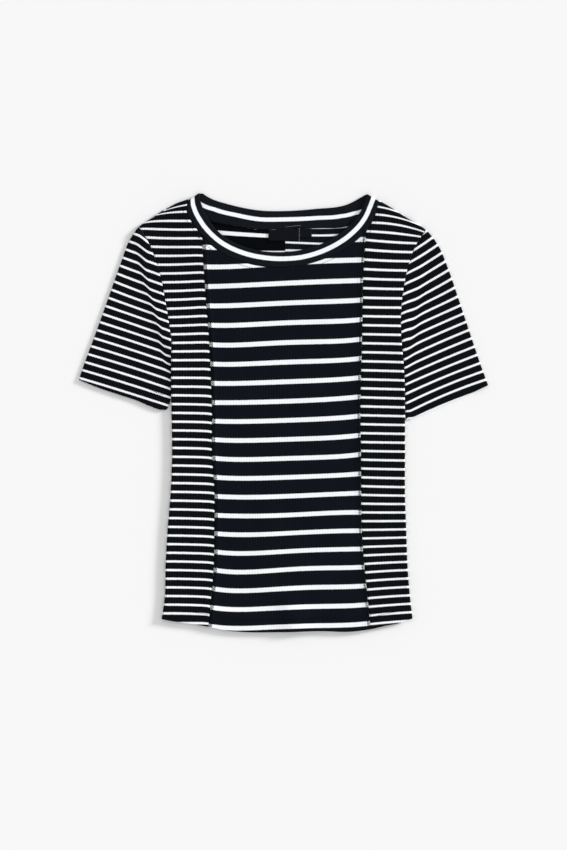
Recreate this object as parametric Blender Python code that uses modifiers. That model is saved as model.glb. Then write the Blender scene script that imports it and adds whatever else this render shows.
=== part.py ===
"""A fitted short-sleeved T-shirt in striped rib jersey, lying flat on its back.

Each piece that is cut and sewn is one object with a wall of cloth. Sizes are in
millimetres until the meshes are made, in metres. +Z points up out of the front, the
neck is towards +Y, and the wearer's right is at -X. The origin is under the middle of
the outline. The back lies on the surface, the front lies on the back, and the cloth
rolls over from one to the other at the shoulders, side seams and sleeve edges.
"""

import bpy
import bmesh
import numpy as np

MM = 0.001

# Walls of cloth
JERSEY = 1.2  # one layer of rib jersey
HEM = 2.2  # a hem, turned up once and stitched
BAND = 2.4  # the neckband, folded double along its free edge
LABEL = 0.6  # woven tape
HEM_DEPTH = 18.0
SLEEVE_HEM_DEPTH = 20.0
HEM_STEP = 0.8  # over which a hem's edge steps down to one layer
HEM_STOP = 3.2  # from a rolled edge, where the turn-up stops
SEAM_GAP = 0.3  # between two pieces at a seam
ARMHOLE_END = 2.5  # times as wide a gap at the two ends of an armhole
END_REACH = (8.0, 14.0)  # how far that wider gap runs in

# How high the cloth lies
ROLL = 2.6  # outer radius of the roll between front and back
NECK_ROLL = 3.2  # the same where the double neckband turns over
NECK_ROLL_REACH = 25.0
ROLL_FADE = 14.0  # how soon a roll sinks to the height of the loose layers
LAID = 3.4  # top of two loose layers
HEM_LAID = 4.9  # top of two hems
HEM_FADE = 16.0
NECK_LIFT = 1.0  # the doubled band holds the front neckline up by this much
NECK_LIFT_REACH = (21.0, 60.0)
CORNER_LIFT = 1.1  # and by this much more where it lies on the back of itself
CORNER_LIFT_REACH = (58.0, 100.0)

# Body below the armholes: level above the middle, then the side edges and the two
# seams of the centre front panel.
#       level  right side  right seam  left seam  left side
BODY = [
    (60, -148.6, -93.8, 101.1, 158.4),
    (0, -148.4, -92.3, 100.4, 159.4),
    (-50, -147.5, -91.8, 101.0, 159.3),
    (-110, -149.5, -89.6, 101.9, 159.1),
    (-155, -153.3, -89.3, 103.0, 160.4),
    (-205, -156.3, -91.7, 106.3, 162.4),
    (-245, -157.6, -94.0, 110.2, 165.5),
]
# The two seams above that, up to the neckband.
#       level  right seam  left seam
YOKE = [(218, -104.8, 107.4), (180, -102.1, 104.6), (142, -99.5, 103.4), (100, -95.6, 102.0)]
# Hem line: place across, and level.
HEM_LINE = [
    (-159.8, -272.0),
    (-143.0, -275.0),
    (-115.4, -279.4),
    (-97.2, -283.0),
    (-78.5, -287.8),
    (-50.0, -289.4),
    (-4.6, -289.9),
    (51.0, -289.2),
    (88.0, -288.0),
    (114.2, -285.0),
    (134.0, -281.3),
    (153.0, -277.2),
    (169.2, -271.5),
]
RIGHT_SEAM_AT_HEM, LEFT_SEAM_AT_HEM = 3, 9  # rows of the hem line
BACK_HEM_SHORTER = 1.0

# Outline from the neck over the shoulder and down the sleeve's outer edge. Row 0 is the
# free edge of the neckband and row 1 its seam.
#       right x, y       left x, y
TOP_LINE = [
    (-111.5, 289.7, 110.3, 288.6),
    (-125.5, 280.5, 125.6, 279.4),
    (-139.5, 275.6, 140.6, 271.0),
    (-155.8, 266.9, 154.5, 262.2),
    (-172.6, 257.1, 170.0, 252.6),
    (-191.0, 244.9, 188.2, 240.9),
    (-202.2, 229.3, 205.0, 219.6),
    (-215.5, 195.6, 216.4, 193.0),
    (-230.9, 152.3, 232.5, 146.3),
    (-246.9, 107.6, 248.2, 99.3),
    (-264.6, 60.0, 262.0, 58.6),
    (-270.3, 43.4, 270.3, 36.0),
]
NECK_SEAM_ROW, SHOULDER_ROW = 1, 5
# Armhole seam from the shoulder down to the armpit.
#       right x, y       left x, y
ARMHOLE = [
    (-191.0, 244.9, 188.2, 240.9),
    (-182.8, 232.7, 180.6, 230.4),
    (-175.3, 219.0, 174.0, 219.4),
    (-167.9, 198.2, 166.6, 199.6),
    (-161.1, 175.0, 160.7, 175.8),
    (-156.6, 151.0, 156.8, 150.6),
    (-153.0, 130.8, 155.0, 124.6),
    (-147.8, 95.7, 155.6, 100.6),
]
# Underarm seam of the sleeve, from the armpit to the hem, just clear of the body.
#       right x, y       left x, y
UNDERARM = [
    (-147.8, 95.7, 155.6, 100.6),
    (-149.7, 78.0, 158.6, 78.5),
    (-149.4, 30.0, 160.2, 36.0),
    (-149.6, 12.0, 160.6, 9.0),
    (-152.6, 4.0, 162.0, -7.5),
]
SLEEVE_HEM_LINE = [
    (-270.3, 43.4, 270.3, 36.0),
    (-254.0, 36.4, 251.7, 27.2),
    (-214.6, 22.7, 212.0, 10.2),
    (-174.2, 8.0, 172.2, -6.9),
    (-152.6, 4.0, 162.0, -7.5),
]
UNDERARM_CLEAR = 0.6

# Seam and free edge of the neckband across the front, right shoulder to left.
FRONT_NECK_SEAM = [
    (-127.6, 267.0),
    (-115.4, 243.8),
    (-107.0, 233.0),
    (-87.8, 214.8),
    (-48.6, 197.2),
    (2.0, 191.4),
    (53.0, 202.4),
    (94.3, 225.1),
    (109.2, 239.4),
    (120.8, 259.9),
]
RIGHT_SEAM_AT_NECK, LEFT_SEAM_AT_NECK = 3, 9  # rows, once the shoulder is put in front
FRONT_NECK_EDGE = [
    (-108.6, 276.4),
    (-100.0, 256.9),
    (-79.5, 233.1),
    (-47.6, 216.2),
    (2.0, 210.9),
    (53.0, 224.0),
    (85.2, 245.8),
    (103.6, 268.6),
]
# The same across the back, where the band's inner face shows.
BACK_NECK_SEAM = [
    (-119.0, 267.5),
    (-98.3, 253.4),
    (-67.9, 247.1),
    (-37.6, 241.8),
    (2.4, 242.7),
    (44.3, 243.5),
    (85.2, 246.4),
    (112.0, 262.0),
]
BACK_NECK_EDGE = [
    (-98.0, 284.0),
    (-71.9, 275.4),
    (-28.3, 267.0),
    (2.4, 266.4),
    (42.8, 269.4),
    (83.2, 274.9),
]
CENTRE_BACK = 2.4  # place of the seam between the two halves of the back

# Woven pieces sewn in under the band at the back: left end, right end, lower edge.
NECK_LABEL = (-19.8, 21.6, 226.8)
SIZE_TAB = (21.9, 37.4, 230.6)

# Soft folds: three points that each runs through, its width and its height.
#       x, y            x, y            x, y           width  height
FOLDS = [
    (-186.5, 205.0, -179.5, 160.0, -162.0, 100.0, 6.5, 1.6),  # right sleeve, by the armhole
    (181.5, 192.0, 178.0, 140.0, 181.0, 104.0, 7.0, 1.1),  # left sleeve, by the armhole
    (-243.0, 90.0, -214.0, 70.0, -180.0, 58.0, 12.0, 0.8),  # right sleeve, above the hem
    (240.0, 84.0, 212.0, 62.0, 184.0, 46.0, 12.0, 0.8),  # left sleeve, above the hem
    (-140.0, 92.0, -112.0, 112.0, -60.0, 118.0, 16.0, 0.9),  # from the right armpit
    (148.0, 92.0, 118.0, 112.0, 62.0, 116.0, 16.0, 0.8),  # from the left armpit
    (-132.0, -80.0, -118.0, -120.0, -122.0, -165.0, 14.0, 0.8),  # right waist
    (140.0, -70.0, 126.0, -115.0, 131.0, -160.0, 14.0, 0.8),  # left waist
    (-30.0, -120.0, -18.0, -170.0, -26.0, -225.0, 20.0, 0.7),  # down the centre front
    (48.0, 90.0, 40.0, 30.0, 52.0, -30.0, 22.0, 0.6),  # left of the centre front
]

# Places of grid lines in millimetres from an edge. At a roll two lines share the edge,
# one above the other, and the next four go round the quarter circle.
AROUND_ROLL = (0.0, 0.2, 0.8, 1.6, 2.6, 9.0)
AT_ROLL = (0.0, *AROUND_ROLL)
AT_SEAM = (0.0, 1.0, 2.0, 3.2, 4.6, 6.4, 11.0)
AT_PLAIN_SEAM = (0.0, 6.0)
AT_HEM = (0.0, 8.0, HEM_DEPTH, HEM_DEPTH + HEM_STEP, HEM_DEPTH + HEM_FADE)
AT_SLEEVE_HEM = (0.0, 9.0, SLEEVE_HEM_DEPTH, SLEEVE_HEM_DEPTH + HEM_STEP)
AT_ARMHOLE = (0.0, 6.0, 13.0, 21.0)
AT_SCOOP = (0.0, 6.0, 14.0, 26.0)
ACROSS_BAND = (0, 0.35, 0.65, 1)  # shares of the neckband's width
LIP = 0.3  # upright bit of wall at a side seam, between the first two lines
# Grid lines between those
FRONT_ROWS, BACK_ROWS = 8, 6  # of a body panel below the armpit
ARMHOLE_ROWS = 7
CENTRE_ROWS, SCOOP_COLUMNS = 14, 12
SLEEVE_ROWS = 5
FRONT_COLUMNS, SHOULDER_COLUMNS, BACK_NECK_COLUMNS = 2, 1, 7
LABEL_ROWS, LABEL_COLUMNS = 4, 5

JERSEY_BLACK = (0.0095, 0.011, 0.0145, 1)
BAND_BLACK = (0.0115, 0.0135, 0.017, 1)
TAPE_BLACK = (0.012, 0.014, 0.018, 1)
JERSEY_ROUGH, BAND_ROUGH, TAPE_ROUGH = 0.9, 0.85, 0.6


# Curves in plan ---------------------------------------------------------------------


def smooth(points, first=0, last=-1, step=2.0):
    """A smooth curve through the points, from row first to row last, as close points."""
    knots = np.array(points, float)
    at = run_along(knots)
    slope = np.gradient(knots, at, axis=0)
    spans = [np.linspace(a, b, int((b - a) / step) + 3) for a, b in zip(at, at[1:])]
    fine = np.unique(np.concatenate(spans))
    fine = fine[(fine >= at[first]) & (fine <= at[last])]
    i = np.clip(np.searchsorted(at, fine, side="right") - 1, 0, len(at) - 2)
    span = (at[i + 1] - at[i])[:, None]
    s = (fine - at[i])[:, None] / span
    ends = (1 + 2 * s) * (1 - s) ** 2 * knots[i] + s**2 * (3 - 2 * s) * knots[i + 1]
    bends = s * (1 - s) ** 2 * slope[i] + s**2 * (s - 1) * slope[i + 1]
    return ends + span * bends


def run_along(curve):
    """How far along the curve each of its points is."""
    return np.concatenate([[0], np.cumsum(np.hypot(*np.diff(curve, axis=0).T))])


def fade(away, near, far):
    """1 up to near, 0 from far, and a smooth slope between them."""
    share = np.clip((far - away) / (far - near), 0, 1)
    return share**2 * (3 - 2 * share)


def columns(table, *places):
    return [tuple(row[place] for place in places) for row in table]


def beside(curve, distance, at_ends=1.0):
    """The curve moved sideways, to the left of the way it runs, at_ends times as far there."""
    along = np.gradient(curve, axis=0)
    across = np.stack([-along[:, 1], along[:, 0]], axis=1)
    run = run_along(curve)
    end = fade(np.minimum(run, run[-1] - run), *END_REACH)
    moved = distance * (1 + (at_ends - 1) * end)
    return curve + (moved / np.linalg.norm(across, axis=1))[:, None] * across


def path(*stretches, knots=(0, 1)):
    """One edge of a piece as a function of 0 to 1, with each stretch between two knots."""
    places, points = [], []
    for stretch, start, end in zip(stretches, knots, knots[1:]):
        run = run_along(stretch)
        places.append(start + (end - start) * run / run[-1])
        points.append(stretch)
    places, points = np.concatenate(places), np.concatenate(points)

    def at(t):
        return np.stack([np.interp(t, places, points[:, i]) for i in (0, 1)], axis=-1)

    return at


def length(curve):
    return run_along(curve)[-1]


def between(left, right, bottom, top, u, v):
    """Points of a sheet spanned by two sides, u across and v up, with curved ends."""
    over, up = u[..., None], v[..., None]

    def bulge(end):
        return end(u) - (1 - over) * end(0) - over * end(1)

    sides = (1 - over) * left(v) + over * right(v)
    return sides + (1 - up) * bulge(bottom) + up * bulge(top)


def lines(start, end, middle, size):
    """Grid lines over a size, as shares of it: those near each end, and some between."""
    start, end = np.array(start) / size, 1 - np.array(end)[::-1] / size
    even = np.linspace(start[-1], end[0], middle + 2)[1:-1]
    return np.concatenate([start, even, end])


def distance(at, curves):
    """How far each point is from the nearest of the curves."""
    nearest = np.full(at.shape[:-1], np.inf)
    for curve in curves:
        for a, b in zip(curve, curve[1:]):
            step = b - a
            share = np.clip(((at - a) @ step) / max(step @ step, 1e-12), 0, 1)
            gap = at - a - share[..., None] * step
            nearest = np.minimum(nearest, np.hypot(gap[..., 0], gap[..., 1]))
    return nearest


# The outline ------------------------------------------------------------------------

RIGHT, LEFT = (0, 1), (2, 3)  # columns of the tables that hold both sides


def seam_line(seam, side):
    """One of the two seams of the centre front, from the hem to the neckband."""
    hem = HEM_LINE[RIGHT_SEAM_AT_HEM if side == RIGHT else LEFT_SEAM_AT_HEM]
    low = [(row[seam], row[0]) for row in reversed(BODY)]
    high = [(row[1 if side == RIGHT else 2], row[0]) for row in reversed(YOKE)]
    return smooth([hem] + low + high + [neck_knots[seam_at_neck[side]]])


def side_line(side, armpit):
    place, hem = (1, HEM_LINE[0]) if side == RIGHT else (4, HEM_LINE[-1])
    return smooth([hem] + [(row[place], row[0]) for row in reversed(BODY)] + [armpit])


neck_corner = {side: columns(TOP_LINE, *side)[NECK_SEAM_ROW] for side in (RIGHT, LEFT)}
free_corner = {side: columns(TOP_LINE, *side)[0] for side in (RIGHT, LEFT)}
neck_knots = [neck_corner[RIGHT]] + FRONT_NECK_SEAM + [neck_corner[LEFT]]
seam_at_neck = {RIGHT: RIGHT_SEAM_AT_NECK, LEFT: LEFT_SEAM_AT_NECK}
back_knots = [neck_corner[RIGHT]] + BACK_NECK_SEAM + [neck_corner[LEFT]]
CENTRE_KNOT = 5  # row of the back's neck seam at the centre back

top_line = {side: smooth(columns(TOP_LINE, *side)) for side in (RIGHT, LEFT)}
shoulder = {
    side: smooth(columns(TOP_LINE, *side), NECK_SEAM_ROW, SHOULDER_ROW) for side in (RIGHT, LEFT)
}
neck_fold = {side: smooth(columns(TOP_LINE, *side), 0, NECK_SEAM_ROW) for side in (RIGHT, LEFT)}
outer_edge = {side: smooth(columns(TOP_LINE, *side), SHOULDER_ROW) for side in (RIGHT, LEFT)}
armhole = {side: smooth(columns(ARMHOLE, *side)) for side in (RIGHT, LEFT)}
OUTWARDS = {RIGHT: -1, LEFT: 1}  # along X
body_armhole = {
    side: beside(armhole[side], -OUTWARDS[side] * SEAM_GAP / 2, ARMHOLE_END)[::-1]
    for side in (RIGHT, LEFT)
}
sleeve_armhole = {
    side: beside(armhole[side], OUTWARDS[side] * SEAM_GAP / 2, ARMHOLE_END)
    for side in (RIGHT, LEFT)
}
underarm = {side: smooth(columns(UNDERARM, *side)) for side in (RIGHT, LEFT)}
sleeve_hem = {side: smooth(columns(SLEEVE_HEM_LINE, *side)) for side in (RIGHT, LEFT)}
side_edge = {side: side_line(side, body_armhole[side][0]) for side in (RIGHT, LEFT)}
centre_seam = {RIGHT: seam_line(2, RIGHT), LEFT: seam_line(3, LEFT)}
front_neck_seam = smooth(neck_knots)
scoop = smooth(neck_knots, RIGHT_SEAM_AT_NECK, LEFT_SEAM_AT_NECK)
neck_run = {
    RIGHT: smooth(neck_knots, 0, RIGHT_SEAM_AT_NECK)[::-1],
    LEFT: smooth(neck_knots, LEFT_SEAM_AT_NECK),
}
back_neck_run = {
    RIGHT: smooth(back_knots, 0, CENTRE_KNOT),
    LEFT: smooth(back_knots, CENTRE_KNOT)[::-1],
}
hem_line = smooth(HEM_LINE)
hem_run = {
    RIGHT: smooth(HEM_LINE, 0, RIGHT_SEAM_AT_HEM),
    LEFT: smooth(HEM_LINE, LEFT_SEAM_AT_HEM)[::-1],
}

# Two pieces that meet share their grid lines along the seam, as shares of its length:
# from armpit to shoulder, from the centre front's seams up to the shoulder, across the
# scoop, and from shoulder to centre back.
along_armhole = {
    side: lines(AROUND_ROLL, AROUND_ROLL, ARMHOLE_ROWS, length(armhole[side]))
    for side in (RIGHT, LEFT)
}
ARMPIT = 0.70  # share of a body panel's outer edge that lies below the armpit
ARMPIT_BLEND = 0.03  # over which the columns spread from the roll to the armhole seam
SEAM_TOP_ROW = 10  # row above the armpit where the neckband begins
SEAM_TOP = ARMPIT + (1 - ARMPIT) * along_armhole[RIGHT][SEAM_TOP_ROW]
NECK_START = 0.42  # share of a back panel's top edge that is shoulder
NECK_BLEND = 0.04  # over which the top rows spread from the roll to the neck seam
along_neck = {
    side: (ARMPIT + (1 - ARMPIT) * along_armhole[side][SEAM_TOP_ROW:] - SEAM_TOP) / (1 - SEAM_TOP)
    for side in (RIGHT, LEFT)
}
along_scoop = lines(AT_PLAIN_SEAM, AT_PLAIN_SEAM, SCOOP_COLUMNS, length(scoop))
along_back_neck = {
    side: lines(AROUND_ROLL, AT_PLAIN_SEAM, BACK_NECK_COLUMNS, length(back_neck_run[side]))
    for side in (RIGHT, LEFT)
}

NECK_ROLLS = list(top_line.values())
BODY_ROLLS = NECK_ROLLS + list(side_edge.values())


# How the cloth lies -----------------------------------------------------------------


def roll_radius(at):
    corners = distance(at, neck_fold.values())
    return ROLL + (NECK_ROLL - ROLL) * np.exp(-((corners / NECK_ROLL_REACH) ** 2))


def folds(at):
    height = np.zeros(at.shape[:-1])
    for *points, width, top in FOLDS:
        run = smooth(list(zip(points[::2], points[1::2])), step=8.0)
        height += top * np.exp(-((distance(at, [run]) / width) ** 2))
    return height


def hem_lift(at, hem, depth):
    return (HEM_LAID - LAID) * fade(distance(at, [hem]), depth, depth + HEM_FADE)


def neck_lift(at):
    """How far the doubled band holds up the front, most where it lies on its own back."""
    band = fade(distance(at, [front_neck_seam]), *NECK_LIFT_REACH)
    corner = fade(distance(at, neck_fold.values()), *CORNER_LIFT_REACH)
    return band * (NECK_LIFT + CORNER_LIFT * corner)


def upper(at, rolls, lift, lip=0.0):
    """Height of the outer face of the layer on top, which rolls down at the rolls."""
    radius, off = roll_radius(at), distance(at, rolls)
    flat = LAID + lift
    crown = flat + (np.maximum(2 * radius, flat) - flat) * np.exp(
        -np.maximum(off - radius, 0) / ROLL_FADE
    )
    foot = radius + lip
    round_share = np.sqrt(1 - (1 - np.minimum(off / radius, 1)) ** 2)
    return foot + (crown - foot) * round_share


def lower(at, rolls, lip=0.0):
    """Height of the outer face of the layer on the surface, flat but for the rolls."""
    radius, off = roll_radius(at), distance(at, rolls)
    return (radius - lip) * (1 - np.sqrt(1 - (1 - np.minimum(off / radius, 1)) ** 2))


# Making the pieces ------------------------------------------------------------------

for thing in list(bpy.data.objects):
    bpy.data.objects.remove(thing, do_unlink=True)

shirt = bpy.data.collections.new("t_shirt")
bpy.context.scene.collection.children.link(shirt)


def cloth(name, points, walls, colour, roughness, flip=False, closed=False):
    """A wall of cloth inside a grid of outer points, thick as walls says at each."""
    rows, across = walls.shape
    mesh = bpy.data.meshes.new(name)
    grid = bmesh.new()
    bmesh.ops.create_grid(grid, x_segments=across - 1, y_segments=rows - 1, size=1)
    weight = grid.verts.layers.deform.verify()
    for vert in grid.verts:
        column = round((vert.co.x + 1) / 2 * (across - 1))
        row = round((vert.co.y + 1) / 2 * (rows - 1))
        vert.co = points[row, column] * MM
        vert[weight][0] = walls[row, column] / walls.max()
    if closed:
        bmesh.ops.remove_doubles(grid, verts=grid.verts, dist=1e-6)
    if flip:
        bmesh.ops.reverse_faces(grid, faces=grid.faces)
    grid.to_mesh(mesh)
    grid.free()

    piece = bpy.data.objects.new(name, mesh)
    shirt.objects.link(piece)
    piece.vertex_groups.new(name="wall")
    wall = piece.modifiers.new("wall", "SOLIDIFY")
    wall.thickness = walls.max() * MM
    wall.offset = -1
    wall.vertex_group = "wall"
    mesh.shade_smooth()

    finish = bpy.data.materials.new(name)
    finish.use_nodes = True
    shader = finish.node_tree.nodes["Principled BSDF"]
    shader.inputs["Base Color"].default_value = colour
    shader.inputs["Roughness"].default_value = roughness
    shader.inputs["Metallic"].default_value = 0
    mesh.materials.append(finish)
    return piece


def walls_with_hem(at, hem, depth, rolls):
    """One layer, and two in the hem, whose turn-up stops short of the rolled edges."""
    doubled = (distance(at, [hem]) < depth + HEM_STEP / 2) & (distance(at, rolls) > HEM_STOP)
    return np.where(doubled, HEM, JERSEY)


def with_height(at, height):
    return np.concatenate([at, height[..., None]], axis=-1)


def body_rows(side, rows_below, top=AT_ROLL):
    """Rows of a body panel from hem to shoulder, with one at the armpit."""
    below = lines(AT_HEM, AT_PLAIN_SEAM, rows_below, length(side_edge[side])) * ARMPIT
    above = lines(AROUND_ROLL, top, ARMHOLE_ROWS, length(armhole[side]))
    return np.concatenate([below, ARMPIT + (1 - ARMPIT) * above[1:]])


def outer_columns(v, end, middle, width):
    """Columns from the side edge or armhole inwards, for each row."""
    rolled = lines(AT_ROLL, end, middle, width)
    sewn = lines(AT_SEAM, end, middle, width)
    roll = fade(v - ARMPIT, 0, ARMPIT_BLEND)[:, None]
    return roll * rolled + (1 - roll) * sewn


def outer_path(side):
    """Side edge and armhole from hem to shoulder, the armhole clear of the sleeve."""
    return path(side_edge[side], body_armhole[side], knots=(0, ARMPIT, 1))


def lip_of(shape, rolled_columns, rolled_rows):
    """Half the seam gap at an edge where front meets back, and a little more inside it."""
    lip = np.full(shape, SEAM_GAP / 2 + LIP)
    if rolled_columns:
        lip[:, 0] = SEAM_GAP / 2
    if rolled_rows:
        lip[-1, :] = SEAM_GAP / 2
    return lip


def front_side(name, side):
    """Side panel of the front, from the hem to the shoulder, as seen from above."""
    gap = -OUTWARDS[side] * SEAM_GAP / 2
    inner = path(
        beside(centre_seam[side], gap), beside(neck_run[side], gap), knots=(0, SEAM_TOP, 1)
    )
    ends = path(hem_run[side]), path(shoulder[side][::-1])
    v = body_rows(side, FRONT_ROWS)
    u = outer_columns(v, AT_PLAIN_SEAM, FRONT_COLUMNS, length(hem_run[side]))
    v = np.broadcast_to(v[:, None], u.shape)
    at = between(outer_path(side), inner, *ends, u, v)
    lift = folds(at) + hem_lift(at, hem_line, HEM_DEPTH) + neck_lift(at)
    height = upper(at, BODY_ROLLS, lift, lip_of(u.shape, True, True))
    walls = walls_with_hem(at, hem_line, HEM_DEPTH, BODY_ROLLS)
    cloth(name, with_height(at, height), walls, JERSEY_BLACK, JERSEY_ROUGH, flip=side == LEFT)


def front_centre():
    """Centre panel between its two seams, from the hem up to the scoop of the neck."""
    left = path(beside(centre_seam[RIGHT], -SEAM_GAP / 2))
    right = path(beside(centre_seam[LEFT], SEAM_GAP / 2))
    bottom = path(smooth(HEM_LINE, RIGHT_SEAM_AT_HEM, LEFT_SEAM_AT_HEM))
    top = path(beside(scoop, -SEAM_GAP / 2))
    rows = lines(AT_HEM, AT_SCOOP, CENTRE_ROWS, length(centre_seam[RIGHT]))
    u, v = np.meshgrid(along_scoop, rows)
    at = between(left, right, bottom, top, u, v)
    lift = folds(at) + hem_lift(at, hem_line, HEM_DEPTH) + neck_lift(at)
    height = upper(at, BODY_ROLLS, lift)
    walls = walls_with_hem(at, hem_line, HEM_DEPTH, BODY_ROLLS)
    cloth("front_centre", with_height(at, height), walls, JERSEY_BLACK, JERSEY_ROUGH)


def back_half(name, side):
    """Half of the back, from the side seam to the centre back, lying on the surface."""
    out = OUTWARDS[side]
    half = hem_line[(hem_line[:, 0] - CENTRE_BACK) * out > 0][::-out]
    sewn = beside(back_neck_run[side], out * SEAM_GAP / 2)
    edge = CENTRE_BACK + out * SEAM_GAP / 2
    sewn[-1, 0] = edge
    hem = np.vstack([half, [edge, half[-1, 1]]]) + [0, BACK_HEM_SHORTER]
    inner = path(np.array([hem[-1], sewn[-1]]))
    top = path(shoulder[side][::-1], sewn, knots=(0, NECK_START, 1))
    v = body_rows(side, BACK_ROWS)
    on_shoulder = outer_columns(v, AROUND_ROLL, SHOULDER_COLUMNS, length(shoulder[side]))
    on_neck = NECK_START + (1 - NECK_START) * along_back_neck[side][1:]
    u = np.hstack([on_shoulder * NECK_START, np.tile(on_neck, (len(v), 1))])
    roll = fade(u - NECK_START, 0, NECK_BLEND)
    v = roll * v[:, None] + (1 - roll) * body_rows(side, BACK_ROWS, AT_SEAM)[:, None]
    at = between(outer_path(side), inner, path(hem), top, u, v)
    height = lower(at, BODY_ROLLS, lip_of(u.shape, True, True))
    walls = walls_with_hem(at, hem, HEM_DEPTH, BODY_ROLLS)
    cloth(name, with_height(at, height), walls, JERSEY_BLACK, JERSEY_ROUGH, flip=side == RIGHT)


def closed_ring(over, under):
    """Both layers as one run of columns that ends where it starts."""
    return np.concatenate([over, under[:, -2:0:-1], over[:, :1]], axis=1)


def sleeve(name, side):
    """A set-in sleeve: a tube pressed flat, with its underarm seam beside the body."""
    sewn = sleeve_armhole[side]
    clear = beside(underarm[side], OUTWARDS[side] * UNDERARM_CLEAR / 2)
    clear[0] = sewn[-1]
    outer = outer_edge[side].copy()
    outer[0] = sewn[0]
    cuff = sleeve_hem[side]
    rolls = [top_line[side], clear]
    along = 1 - lines(AT_ARMHOLE, AT_SLEEVE_HEM, SLEEVE_ROWS, length(outer))
    u, v = np.meshgrid(1 - along_armhole[side][::-1], along)
    at = between(path(outer[::-1]), path(clear[::-1]), path(cuff), path(sewn), u, v)
    lift = folds(at) + hem_lift(at, cuff, SLEEVE_HEM_DEPTH)
    over = with_height(at, upper(at, rolls, lift))
    under = with_height(at, lower(at, rolls))
    ring = closed_ring(over, under)
    walls = walls_with_hem(ring[..., :2], cuff, SLEEVE_HEM_DEPTH, rolls)
    cloth(name, ring, walls, JERSEY_BLACK, JERSEY_ROUGH, flip=side == RIGHT, closed=True)


def neckband():
    """A ring of doubled rib that turns over at each shoulder and stands up from its seam."""
    sewn = beside(smooth(neck_knots), SEAM_GAP / 2)
    ends = []
    for side, corner in ((RIGHT, sewn[0]), (LEFT, sewn[-1])):
        ends.append(path(np.vstack([corner, neck_fold[side][-2::-1]])))
    share = np.cumsum([length(run) for run in (neck_run[RIGHT], scoop, neck_run[LEFT])])
    share = share / share[-1]
    along = np.concatenate(
        [
            share[0] * (1 - along_neck[RIGHT][::-1]),
            share[0] + (share[1] - share[0]) * along_scoop[1:],
            share[1] + (1 - share[1]) * along_neck[LEFT][1:],
        ]
    )
    free = smooth([free_corner[RIGHT]] + FRONT_NECK_EDGE + [free_corner[LEFT]])
    u, v = np.meshgrid(along, ACROSS_BAND)
    at = between(*ends, path(sewn), path(free), u, v)
    front = with_height(at, upper(at, NECK_ROLLS, neck_lift(at)))

    sewn = beside(smooth(back_knots), SEAM_GAP / 2)
    middle = length(back_neck_run[RIGHT]) / length(sewn)
    along = np.concatenate(
        [
            middle * along_back_neck[RIGHT],
            middle + (1 - middle) * (1 - along_back_neck[LEFT][-2::-1]),
        ]
    )
    free = smooth([free_corner[RIGHT]] + BACK_NECK_EDGE + [free_corner[LEFT]])
    u, v = np.meshgrid(along, ACROSS_BAND)
    at = between(*ends, path(sewn), path(free), u, v)
    back = with_height(at, lower(at, NECK_ROLLS))
    ring = closed_ring(front, back)
    walls = np.full(ring.shape[:2], BAND)
    cloth("neckband", ring, walls, BAND_BLACK, BAND_ROUGH, closed=True)


def sewn_in_tape(name, place):
    """A woven piece on the inside of the back, hanging from the seam of the neckband."""
    left, right, low = place
    seam = smooth(back_knots)
    across = np.linspace(left, right, LABEL_COLUMNS)
    top = np.interp(across, seam[:, 0], seam[:, 1]) - SEAM_GAP * 1.5
    x = np.tile(across, (LABEL_ROWS, 1))
    y = low + (top - low) * np.linspace(0, 1, LABEL_ROWS)[:, None]
    at = np.stack([x, y], axis=-1)
    height = np.full(x.shape, JERSEY + SEAM_GAP + LABEL)
    cloth(name, with_height(at, height), np.full(x.shape, LABEL), TAPE_BLACK, TAPE_ROUGH)


front_centre()
front_side("front_side_right", RIGHT)
front_side("front_side_left", LEFT)
back_half("back_right", RIGHT)
back_half("back_left", LEFT)
sleeve("sleeve_right", RIGHT)
sleeve("sleeve_left", LEFT)
neckband()
sewn_in_tape("neck_label", NECK_LABEL)
sewn_in_tape("size_tab", SIZE_TAB)
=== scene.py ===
"""Looks of a fitted short-sleeved T-shirt in striped rib jersey, lying flat on its back.

The pieces follow one another as the shirt is put together. Sizes are in millimetres
until a mesh is made, in metres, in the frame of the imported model: +Z points up out of
the front, the neck is towards +Y, and the wearer's right is at -X.
"""

import bpy
import numpy as np
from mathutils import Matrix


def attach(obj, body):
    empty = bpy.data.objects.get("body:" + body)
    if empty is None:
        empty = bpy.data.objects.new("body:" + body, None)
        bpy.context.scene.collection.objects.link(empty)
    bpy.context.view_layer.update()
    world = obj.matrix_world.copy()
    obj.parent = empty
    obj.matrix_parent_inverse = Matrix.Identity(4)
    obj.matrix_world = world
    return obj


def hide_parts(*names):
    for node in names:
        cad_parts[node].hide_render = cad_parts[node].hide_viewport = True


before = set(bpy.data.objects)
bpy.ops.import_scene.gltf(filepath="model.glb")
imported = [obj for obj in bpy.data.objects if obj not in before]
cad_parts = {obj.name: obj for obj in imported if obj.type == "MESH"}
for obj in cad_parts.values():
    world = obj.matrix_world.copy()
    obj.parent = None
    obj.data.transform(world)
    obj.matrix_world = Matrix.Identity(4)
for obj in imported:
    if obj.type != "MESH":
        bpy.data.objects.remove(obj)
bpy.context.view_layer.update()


# The back -----------------------------
# Two halves of rib jersey, seamed down the centre back. They lie on the surface, right
# side down, so only their inside shows, through the neck: wide stripes on the wearer's
# right half and narrow ones on the left. At the side seams the cloth rolls up to the front.

MM = 0.001
RIGHT, LEFT = (0, 1), (2, 3)  # columns of the tables that hold both sides
SIDES = {"right": RIGHT, "left": LEFT}
BOTH = tuple(SIDES.values())
OUTWARDS = {RIGHT: -1, LEFT: 1}  # along X

JERSEY = 1.2  # one layer of rib jersey
HEM = 2.2  # a hem, turned up once and stitched
SEAM_GAP = 0.3  # between two pieces at a seam
ARMHOLE_END = 2.5  # times as wide a gap at the two ends of an armhole
END_REACH = (8.0, 14.0)  # how far that wider gap runs in
CELL = 2.2  # usual size of a mesh's cells

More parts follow.
